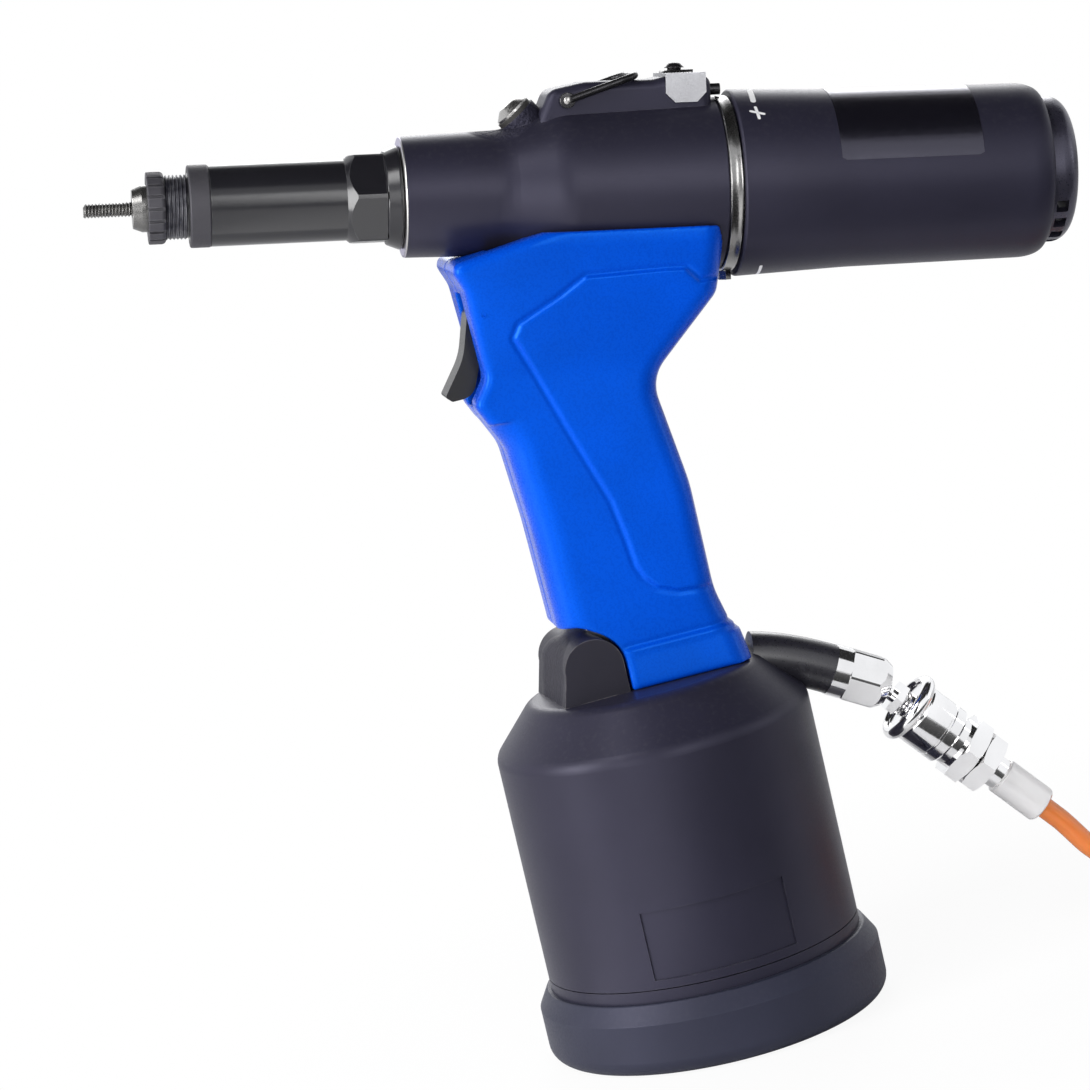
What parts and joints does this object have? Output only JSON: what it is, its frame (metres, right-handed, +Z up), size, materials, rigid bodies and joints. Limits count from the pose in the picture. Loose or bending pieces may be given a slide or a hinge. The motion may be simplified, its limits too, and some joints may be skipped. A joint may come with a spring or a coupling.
{
  "type": "pneumatic rivet gun",
  "caption": "Air-hydraulic hand tool: threaded mandrel nose, head with motor sleeve, pistol grip with trigger, upright air cylinder and quick-coupled hose.",
  "frame": {"origin": "centre of the flat underside, on the air cylinder's axis", "axes": "+Z up along the air cylinder, -X towards the mandrel, +X towards the end cap and the air inlet, +Y to the tool's left shell; the barrel's axis is in the XZ plane and rises 11 degrees towards the nose"},
  "size_m": [0.3422, 0.1436, 0.2663],
  "materials": {
    "satin_charcoal": "satin charcoal paint with a slight blue-violet tint on cast and turned aluminium",
    "black_cap": "moulded satin black",
    "black_gloss": "glossy black oxide on steel",
    "grey_steel": "matte grey phosphated steel",
    "dark_steel": "dark tempered steel",
    "bare_steel": "ground steel",
    "bare_aluminium": "machined aluminium",
    "brass_bush": "turned brass",
    "satin_silver": "satin stainless sheet",
    "dark_wire": "black oxide steel",
    "dark_fibre": "dark vulcanised fibre washer",
    "phenolic": "phenolic sheet",
    "blue_shell": "glossy royal blue moulding",
    "black_trigger": "black moulded lever",
    "black_rubber": "smooth black rubber",
    "boot_rubber": "blue-grey moulded rubber",
    "chrome": "bright chrome plating",
    "orange_hose": "orange polyurethane tube"
  },
  "bodies": {
    "gun_body": {"head_casting": "satin_charcoal", "valve_block": "satin_charcoal", "relief_block": "satin_charcoal", "air_cylinder": "satin_charcoal", "base_cap": "satin_charcoal", "nose_housing": "black_gloss", "nose_ring": "black_gloss", "nose_collar": "grey_steel", "anvil_lock_nut": "grey_steel", "anvil": "dark_steel", "thread_ring": "dark_steel", "front_gland": "bare_steel", "return_spring": "bare_steel", "trigger_pin": "bare_steel", "trigger_spring": "bare_steel", "ring_lock_screw": "bare_steel", "grip_screws": "bare_steel", "oil_fill_screw": "bare_steel", "cylinder_plug": "bare_aluminium", "handle_core": "bare_aluminium", "ram_gland": "brass_bush", "valve_body": "brass_bush", "clip_saddle": "satin_silver", "clip_screw": "dark_wire", "sealing_washer": "dark_fibre", "grip_shell_left": "blue_shell", "grip_shell_right": "blue_shell", "inlet_elbow": "black_rubber", "base_boot": "boot_rubber", "swivel_nut": "chrome", "hose_end_plug": "chrome", "air_hose": "orange_hose", "hose_coil": "orange_hose"},
    "trigger": {"trigger": "black_trigger"},
    "valve_stem": {"valve_stem": "bare_steel"},
    "air_piston": {"air_piston": "bare_aluminium", "air_piston_ring": "black_rubber", "ram": "bare_steel"},
    "pull_unit": {"hydraulic_piston": "bare_steel", "spindle": "bare_steel", "draw_cup": "bare_steel"},
    "mandrel": {"mandrel": "dark_steel", "mandrel_holder": "bare_steel"},
    "motor_unit": {"gear_case": "bare_steel", "motor_cylinder": "bare_steel", "motor_end_plates": "bare_steel", "motor_bearings": "bare_steel"},
    "sleeve": {"rear_sleeve": "satin_charcoal", "end_cap": "black_cap"},
    "drive": {"planet_carrier": "bare_steel"},
    "rotor": {"motor_rotor": "bare_steel", "motor_vanes": "phenolic"},
    "planet_1": {"planet_gear_1": "bare_steel"},
    "planet_2": {"planet_gear_2": "bare_steel"},
    "bail": {"hanger_bail": "dark_wire"},
    "reverse_button": {"reverse_button": "dark_wire"},
    "coupler": {"swivel_plug": "chrome", "coupler_body": "chrome", "hose_nut": "chrome"},
    "release_sleeve": {"release_sleeve": "chrome"}
  },
  "joints": [
    {"name": "trigger_pull", "type": "hinge", "parent": "gun_body", "child": "trigger", "pos_m": [-0.021, 0, 0.2088], "axis": [0, -1, 0], "range_deg": [0, 9], "stiffness_Nm_per_rad": 0.4, "springref_deg": -6.88},
    {"name": "valve_open", "type": "slide", "parent": "gun_body", "child": "valve_stem", "axis": [1, 0, 0], "range_m": [0, 0.0019], "deforming": ["trigger_spring"]},
    {"name": "air_piston_rise", "type": "slide", "parent": "gun_body", "child": "air_piston", "axis": [0, 0, 1], "range_m": [0, 0.05], "stiffness_N_per_m": 1500, "springref_m": -0.01},
    {"name": "pull_stroke", "type": "slide", "parent": "gun_body", "child": "pull_unit", "axis": [0.9816, 0, -0.1908], "range_m": [0, 0.00701], "deforming": ["return_spring"]},
    {"name": "stroke_adjust_travel", "type": "slide", "parent": "gun_body", "child": "motor_unit", "axis": [0.9816, 0, -0.1908], "range_m": [0, 0.00401]},
    {"name": "stroke_adjust_turn", "type": "hinge", "parent": "motor_unit", "child": "sleeve", "pos_m": [0.0589, 0, 0.22575], "axis": [0.9816, 0, -0.1908], "range_deg": [0, 720]},
    {"name": "drive_spin", "type": "hinge", "parent": "motor_unit", "child": "drive", "pos_m": [0.0589, 0, 0.22575], "axis": [0.9816, 0, -0.1908], "continuous": true},
    {"name": "mandrel_spin", "type": "hinge", "parent": "pull_unit", "child": "mandrel", "pos_m": [-0.0589, 0, 0.24865], "axis": [0.9816, 0, -0.1908], "continuous": true},
    {"name": "rotor_spin", "type": "hinge", "parent": "motor_unit", "child": "rotor", "pos_m": [0.10798, 0, 0.21621], "axis": [0.9816, 0, -0.1908], "continuous": true},
    {"name": "planet_1_spin", "type": "hinge", "parent": "drive", "child": "planet_1", "pos_m": [0.08625, 0, 0.23021], "axis": [0.9816, 0, -0.1908], "continuous": true},
    {"name": "planet_2_spin", "type": "hinge", "parent": "drive", "child": "planet_2", "pos_m": [0.08259, 0, 0.21137], "axis": [0.9816, 0, -0.1908], "continuous": true},
    {"name": "bail_swing", "type": "hinge", "parent": "gun_body", "child": "bail", "pos_m": [0.01465, 0, 0.25911], "axis": [0, -1, 0], "range_deg": [0, 130]},
    {"name": "reverse_push", "type": "slide", "parent": "gun_body", "child": "reverse_button", "axis": [-0.9816, 0, 0.1908], "range_m": [0, 0.0025], "stiffness_N_per_m": 400, "springref_m": -0.002},
    {"name": "coupler_tilt", "type": "hinge", "parent": "gun_body", "child": "coupler", "pos_m": [0.06341, 0, 0.08219], "axis": [0, 1, 0], "range_deg": [-8, 8], "deforming": ["air_hose"]},
    {"name": "release_pull", "type": "slide", "parent": "coupler", "child": "release_sleeve", "axis": [0.6428, 0, -0.766], "range_m": [0, 0.0025], "stiffness_N_per_m": 800, "springref_m": -0.002}
  ],
  "couplings": [
    {"joint": "valve_open", "follows": "trigger_pull", "m_per_rad": 0.01146},
    {"joint": "pull_stroke", "follows": "air_piston_rise", "ratio": 0.14},
    {"joint": "stroke_adjust_travel", "follows": "stroke_adjust_turn", "m_per_rad": 0.00031831},
    {"joint": "drive_spin", "follows": "rotor_spin", "ratio": 0.25},
    {"joint": "mandrel_spin", "follows": "rotor_spin", "ratio": 0.25},
    {"joint": "planet_1_spin", "follows": "rotor_spin", "ratio": -0.75},
    {"joint": "planet_2_spin", "follows": "rotor_spin", "ratio": -0.75}
  ]
}
